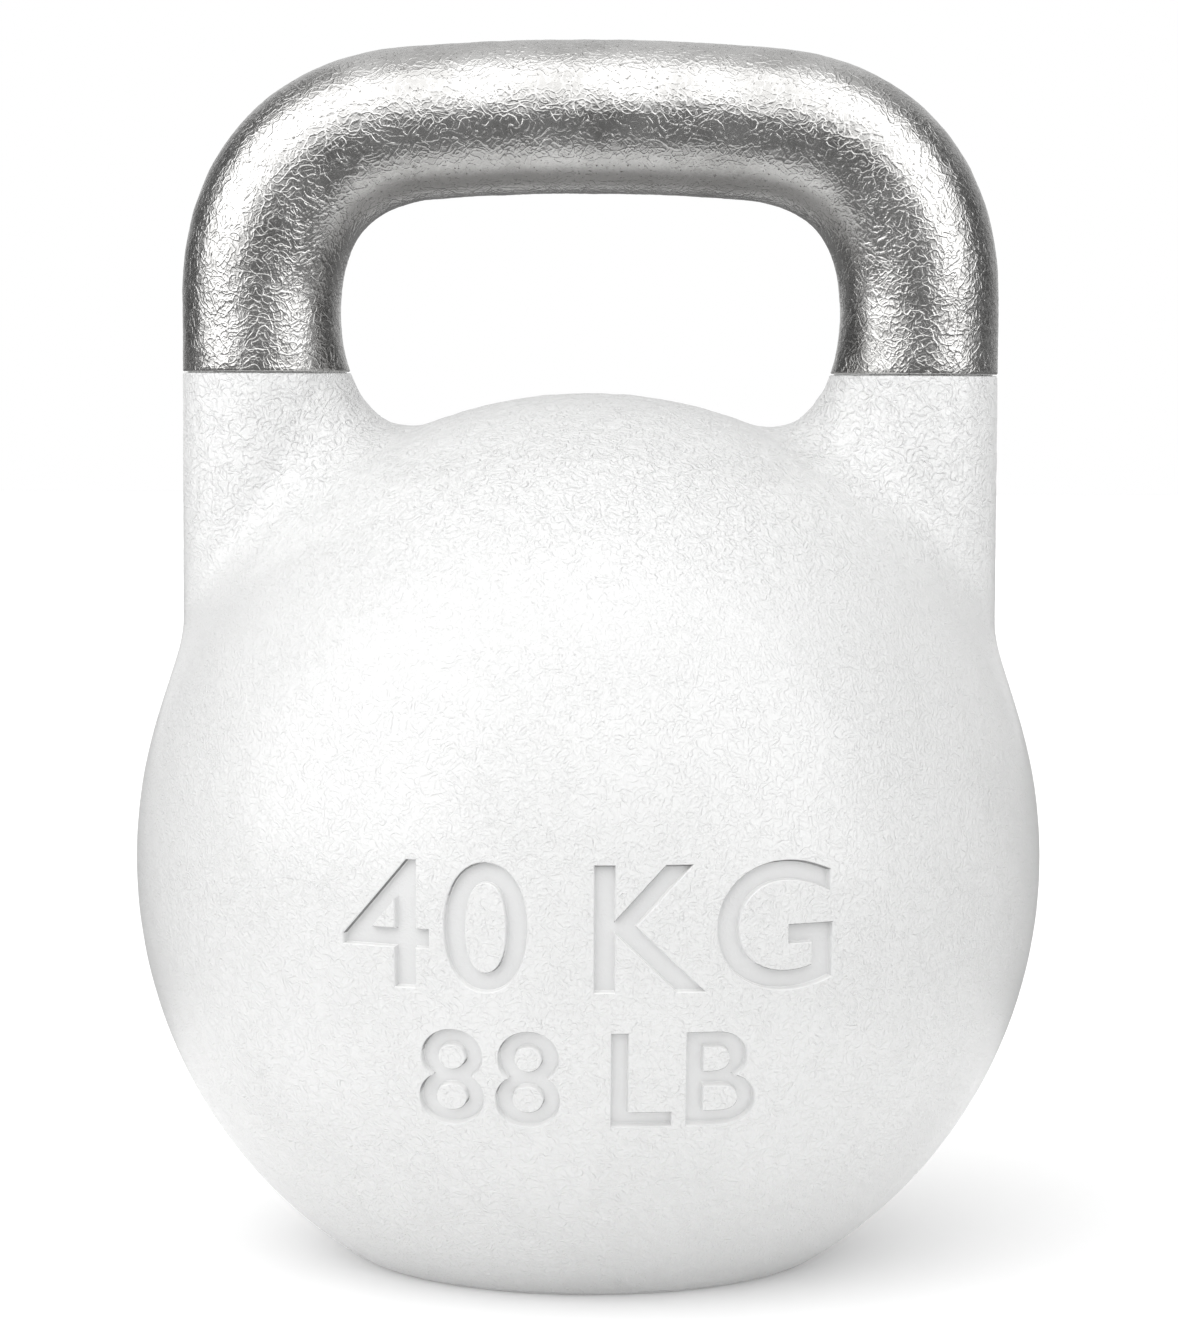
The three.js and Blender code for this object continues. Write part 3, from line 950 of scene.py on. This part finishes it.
def makeEnamel(name, letters=False):
    material, tree, place = newMaterial(name)
    x, y, z = place.split()
    horn = z.smooth(*enamelFinish["hornFrom"])
    size, width = enamelFinish["ridgeSize"], enamelFinish["ridgeWidth"]
    one, two = ridges(place, size, width, 3.1)
    three, four = ridges(place, size * 0.66, width, 7.7)
    big, bigger = ridges(place, size * 1.25, width, 6.2)
    patches = place.noise(30 * mm, 2.0)
    grain = place.noise(0.5 * mm, 1.0)
    fine = one * 0.6 + two * 0.5 + (three * 0.35 + four * 0.25) * patches.smooth(0.3, 0.6)
    coarse = big * 0.7 + bigger * 0.55 + three * 0.25 + four * 0.2
    ballHeight, hornHeight = enamelFinish["ridgeHeight"], enamelFinish["hornHeight"]
    keep = enamelFinish["inLetters"] if letters else 1.0
    height = fine * (1 - horn) * (ballHeight / hornHeight * keep)
    height = height + coarse * horn * keep + grain * 0.05
    normal = bump(height, hornHeight)
    tone = place.noise(45 * mm, 3.0)
    base = enamelFinish["letterColour"] if letters else enamelFinish["colour"]
    shade = tone.smooth(0.3, 0.7).colourMix([c * 0.985 for c in base], base)
    # painted light: the horns and the top of the ball are made lighter by height
    shade = z.smooth(*enamelFinish["upperFrom"]).colourMix(shade, enamelFinish["paintedLightColour"])
    if letters:
        # painted shade on the letter walls that face down and to the left, painted highlight on those
        # that face up
        faceX, faceY, faceZ = place.node("ShaderNodeNewGeometry", output=3).split()
        paintedShade = (faceX * 0.45 - faceZ).smooth(0.56, 0.86)
        shade = paintedShade.colourMix(shade, enamelFinish["paintedShadeWall"])
        shade = faceZ.smooth(0.2, 0.7).colourMix(shade, enamelFinish["paintedHighlightWall"])
    # scuffs where the rounded edge of the base meets the floor; they also darken that edge as painted
    # shade where the contact shadow falls
    low = 1 - z.smooth(*enamelFinish["wearAndShadeHeight"])
    scuff = place.noise(2.6 * mm, 3.0, 0.65)
    wearAndShade = (low * enamelFinish["wearAndShadeShare"] + scuff - 1.15).smooth(0.02, 0.14)
    shade = wearAndShade.colourMix(shade, enamelFinish["wearAndShadeColour"])
    roughness = enamelFinish["roughness"] + (tone - 0.5) * 0.16 + wearAndShade * 0.08
    finishMaterial(tree, {
        "Base Color": shade, "Roughness": roughness, "Metallic": wearAndShade * 0.7,
        "Coat Weight": (1 - wearAndShade) * enamelFinish["coat"],
        "Coat Roughness": enamelFinish["coatRoughness"], "Normal": normal,
    })
    return material


barFinish = {
    "bright": (0.70, 0.695, 0.685),
    "dull": (0.50, 0.495, 0.485),
    "pit": (0.16, 0.155, 0.15),
    "ridgeSize": 2.3 * mm,
    "ridgeHeight": 0.075 * mm,
    "roughness": 0.25,
    "innerPaintedShade": 0.6,
}


def makeBareSteel():
    material, tree, place = newMaterial("bare_cast_steel")
    size = barFinish["ridgeSize"]
    one, two = ridges(place, size, 0.085, 5.3)
    three, four = ridges(place, size * 0.62, 0.1, 9.4)
    grain = place.noise(0.5 * mm, 1.0)
    height = one * 0.7 + two * 0.55 + three * 0.28 + four * 0.2 + grain * 0.16
    normal = bump(height, barFinish["ridgeHeight"])
    patches = place.noise(16 * mm, 3.0)
    pits = place.noise(0.8 * mm, 1.0, shift=(2, 0, 0)).smooth(0.66, 0.74)
    shade = patches.smooth(0.3, 0.7).colourMix(barFinish["dull"], barFinish["bright"])
    shade = (height.smooth(0.1, 1.1) * 0.55).colourMix(shade, barFinish["bright"])
    shade = (pits * 0.7).colourMix(shade, barFinish["pit"])
    # painted shade: the steel darkens towards the window
    inner = place.node("ShaderNodeAttribute", output=2, attribute_name="inner")
    shade = (inner * barFinish["innerPaintedShade"]).colourMix(shade, barFinish["pit"])
    roughness = barFinish["roughness"] + (patches - 0.5) * 0.1 + pits * 0.2
    finishMaterial(tree, {
        "Base Color": shade, "Roughness": roughness, "Metallic": 1.0, "Normal": normal,
    })
    return material


rawFinish = {
    "dark": (0.14, 0.135, 0.13),
    "light": (0.30, 0.29, 0.28),
    "sand": 1.1 * mm,  # size of the marks left by the casting sand
    "sandHeight": 0.12 * mm,
}


def makeRawSteel():
    material, tree, place = newMaterial("raw_cast_steel")
    sand = place.noise(rawFinish["sand"], 4.0, 0.6)
    tone = place.noise(14 * mm, 3.0)
    shade = tone.colourMix(rawFinish["dark"], rawFinish["light"])
    finishMaterial(tree, {
        "Base Color": shade, "Roughness": 0.45 + sand * 0.25, "Metallic": 0.85,
        "Normal": bump(sand, rawFinish["sandHeight"]),
    })
    return material


blackFinish = {
    "oxide": (0.085, 0.086, 0.09),
    "rubbed": (0.30, 0.295, 0.29),
    "toolMark": 0.7 * mm,  # spacing of the turning marks
    "markHeight": 0.03 * mm,
}


def makeBlackSteel():
    material, tree, place = newMaterial("black_oxide_steel")
    x, y, z = place.split()
    reach = x.maths("SQRT", x * x + y * y)
    turning = reach.maths("SINE", reach * (2 * math.pi / blackFinish["toolMark"]))
    grain = place.noise(0.6 * mm, 2.0)
    smear = place.noise(9 * mm, 4.0, 0.6)
    rubbed = smear.smooth(0.48, 0.72) * 0.6
    shade = rubbed.colourMix(blackFinish["oxide"], blackFinish["rubbed"])
    finishMaterial(tree, {
        "Base Color": shade, "Roughness": 0.34 + smear * 0.2, "Metallic": 0.35,
        "Normal": bump(turning * 0.5 + grain * 0.6, blackFinish["markHeight"]),
    })
    return material


zincFinish = {"dull": (0.50, 0.53, 0.57), "bright": (0.72, 0.71, 0.66), "cloud": 5 * mm}


def makeZincSteel():
    material, tree, place = newMaterial("zinc_plated_steel")
    cloud = place.noise(zincFinish["cloud"], 4.0, 0.6)
    grain = place.noise(0.4 * mm, 1.0)
    shade = cloud.colourMix(zincFinish["dull"], zincFinish["bright"])
    finishMaterial(tree, {
        "Base Color": shade, "Roughness": 0.24 + cloud * 0.2, "Metallic": 1.0,
        "Normal": bump(grain, 0.01 * mm),
    })
    return material


fillFinish = {
    "shotSize": 2.6 * mm,
    "darkShot": (0.20, 0.205, 0.21),
    "lightShot": (0.36, 0.36, 0.355),
    "resin": (0.055, 0.05, 0.045),
}


def makeShotAndResin():
    material, tree, place = newMaterial("shot_in_resin")
    cells = {"Vector": place, "Scale": 1 / fillFinish["shotSize"], "Randomness": 0.8}
    away = place.node("ShaderNodeTexVoronoi", cells)
    resin = away.smooth(0.42, 0.56)
    tint = place.noise(6 * mm, 2.0)
    shot = tint.colourMix(fillFinish["darkShot"], fillFinish["lightShot"])
    shade = resin.colourMix(shot, fillFinish["resin"])
    finishMaterial(tree, {
        "Base Color": shade, "Roughness": 0.42 - resin * 0.2, "Metallic": (1 - resin) * 0.8,
        "Normal": bump(1 - away, 0.5 * mm),
    })
    return material


rubberFinish = {"clean": (0.022, 0.022, 0.022), "dusty": (0.06, 0.058, 0.055)}


def makeRubber():
    material, tree, place = newMaterial("gasket_rubber")
    dust = place.noise(3 * mm, 4.0, 0.65)
    grain = place.noise(0.25 * mm, 1.0)
    shade = dust.smooth(0.45, 0.8).colourMix(rubberFinish["clean"], rubberFinish["dusty"])
    finishMaterial(tree, {
        "Base Color": shade, "Roughness": 0.6 + dust * 0.25, "Normal": bump(grain, 0.02 * mm),
    })
    return material


enamel = makeEnamel("white_enamel")
letterEnamel = makeEnamel("white_enamel_in_letters", letters=True)
rawSteel = makeRawSteel()
blackSteel = makeBlackSteel()

makeBell([enamel, letterEnamel, rawSteel])
makeHandle(makeBareSteel())
makePlug(blackSteel)
makeLockScrew(blackSteel)


def dress(node, material):
    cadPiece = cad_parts[node]
    cadPiece.data.materials.clear()
    cadPiece.data.materials.append(material)


zincSteel = makeZincSteel()
for side in ("left", "right"):
    dress(side + "_handle_screw", blackSteel)
    dress(side + "_screw_washer", zincSteel)
dress("ballast_fill", makeShotAndResin())
dress("plug_gasket", makeRubber())
print("pieces built")


# A white floor, soft light from all round, and soft boxes that only the gloss shows.
studio = {
    "backdrop": 1.0,  # what the camera sees behind everything
    "floorColour": (0.86, 0.86, 0.86),
    "floorGlow": 0.13,  # lifts the shade under the ball
    "floorReach": 6.0,
    "floorFade": (0.155, 0.31),  # the steel sees the white floor end between these distances
    "floorFar": (0.17, 0.17, 0.17),
    "level": 0.71,  # soft light: all round, added overhead
    "overhead": 0.47,
    "keyFrom": (-0.52, -0.52, 0.68),  # main light, high on the left in front
    "keyLevel": 1.23,
    "keyWidth": 5.0,  # a higher power makes it narrower
    "room": 0.46,  # what the gloss sees between the boxes, above and below the horizon
    "below": 0.2,
    "horizon": (-12, 4),  # elevations between which one turns into the other
    # azimuth from the front, elevation, half widths, softness (all in degrees), brightness
    "boxes": (
        ("left", -62, 12, 32, 50, 24, 2.2),
        ("right", 50, 12, 24, 50, 22, 2.2),
        ("top", 0, 60, 80, 42, 44, 1.8),
        ("behindTop", 180, 75, 90, 20, 16, 0.75),
        ("behind", 180, 20, 30, 40, 16, 0.72),
    ),
    # dark patch in front: azimuth from, to, elevation of its middle, half heights from, to, depth
    "frontGap": (9, 26, -14, 15, 31, 0.86),
    # dark behind each side: azimuth, how much further round on the left, half widths, elevations, depth
    "rearGap": (115, 7, 12, 32, 40, 62, 0.8),
}


def makeFloor():
    material, tree, place = newMaterial("floor")
    speck = place.noise(4 * mm, 2.0)
    shade = speck.colourMix([c * 0.995 for c in studio["floorColour"]], studio["floorColour"])
    x, y, z = place.split()
    reach = x.maths("SQRT", x * x + y * y)
    glossy = Wire(tree).node("ShaderNodeLightPath", output=3)
    far = reach.smooth(*studio["floorFade"]) * glossy
    shade = far.colourMix(shade, studio["floorFar"])
    paint = Wire(tree).node("ShaderNodeBsdfDiffuse", {"Color": shade, "Roughness": 0.5})
    glow = Wire(tree).node("ShaderNodeEmission", {"Strength": (1 - far) * studio["floorGlow"]})
    paint = Wire(tree).node("ShaderNodeAddShader", {0: paint, 1: glow})
    clear = Wire(tree).node("ShaderNodeBsdfTransparent")
    underside = Wire(tree).node("ShaderNodeNewGeometry", output=6)
    both = Wire(tree).node("ShaderNodeMixShader", {0: underside, 1: paint, 2: clear})
    Wire(tree).node("ShaderNodeOutputMaterial", {"Surface": both})
    reach = studio["floorReach"]
    corners = [(-reach, -reach, 0), (reach, -reach, 0), (reach, reach, 0), (-reach, reach, 0)]
    floor = makePiece("floor", meshFrom("floor", corners, [(0, 1, 2, 3)]))
    floor.data.materials.append(material)


def makeWorld():
    world = bpy.data.worlds.new("studio")
    bpy.context.scene.world = world
    world.use_nodes = True
    tree = world.node_tree
    tree.nodes.clear()
    toward = Wire(tree).node("ShaderNodeTexCoord", output=0)
    x, y, z = toward.split()
    degrees = math.degrees(1)
    azimuth = x.maths("ARCTAN2", x, 0 - y) * degrees
    elevation = z.maths("ARCSINE", z) * degrees
    room = studio["below"] + (studio["room"] - studio["below"]) * elevation.smooth(*studio["horizon"])
    gloss = room
    for name, turn, rise, wide, tall, soft, strength in studio["boxes"]:
        apart = abs(azimuth - turn)
        apart = apart.maths("MINIMUM", apart, 360 - apart)
        inside = 1 - apart.smooth(wide - soft / 2, wide + soft / 2)
        inside = inside * (1 - abs(elevation - rise).smooth(tall - soft / 2, tall + soft / 2))
        gloss = gloss.maths("MAXIMUM", gloss, inside * strength)
    near, far, rise, level, end, depth = studio["frontGap"]
    front = (1 - abs(azimuth).smooth(near, far)) * (1 - abs(elevation - rise).smooth(level, end))
    gloss = gloss * (1 - front * depth)
    turn, lean, near, far, level, end, depth = studio["rearGap"]
    rear = (1 - abs(abs(azimuth + lean) - turn).smooth(near, far)) * (1 - elevation.smooth(level, end))
    gloss = gloss * (1 - rear * depth)
    soft = studio["level"] + z.maths("MAXIMUM", z, 0) * studio["overhead"]
    key = toward.vector("DOT_PRODUCT", toward, studio["keyFrom"], output=1)
    key = key.maths("MAXIMUM", key, 0)
    soft = soft + key.maths("POWER", key, studio["keyWidth"]) * studio["keyLevel"]
    camera = Wire(tree).node("ShaderNodeLightPath")
    glossy = Wire(tree).node("ShaderNodeLightPath", output=3)
    strength = glossy * gloss + (1 - glossy) * soft
    strength = strength * (1 - camera) + camera * studio["backdrop"]
    shade = Wire(tree).node("ShaderNodeBackground", {"Color": (1, 1, 1, 1), "Strength": strength})
    Wire(tree).node("ShaderNodeOutputWorld", {"Surface": shade})


makeFloor()
makeWorld()
bpy.context.scene.view_settings.view_transform = "Standard"
print("studio set")
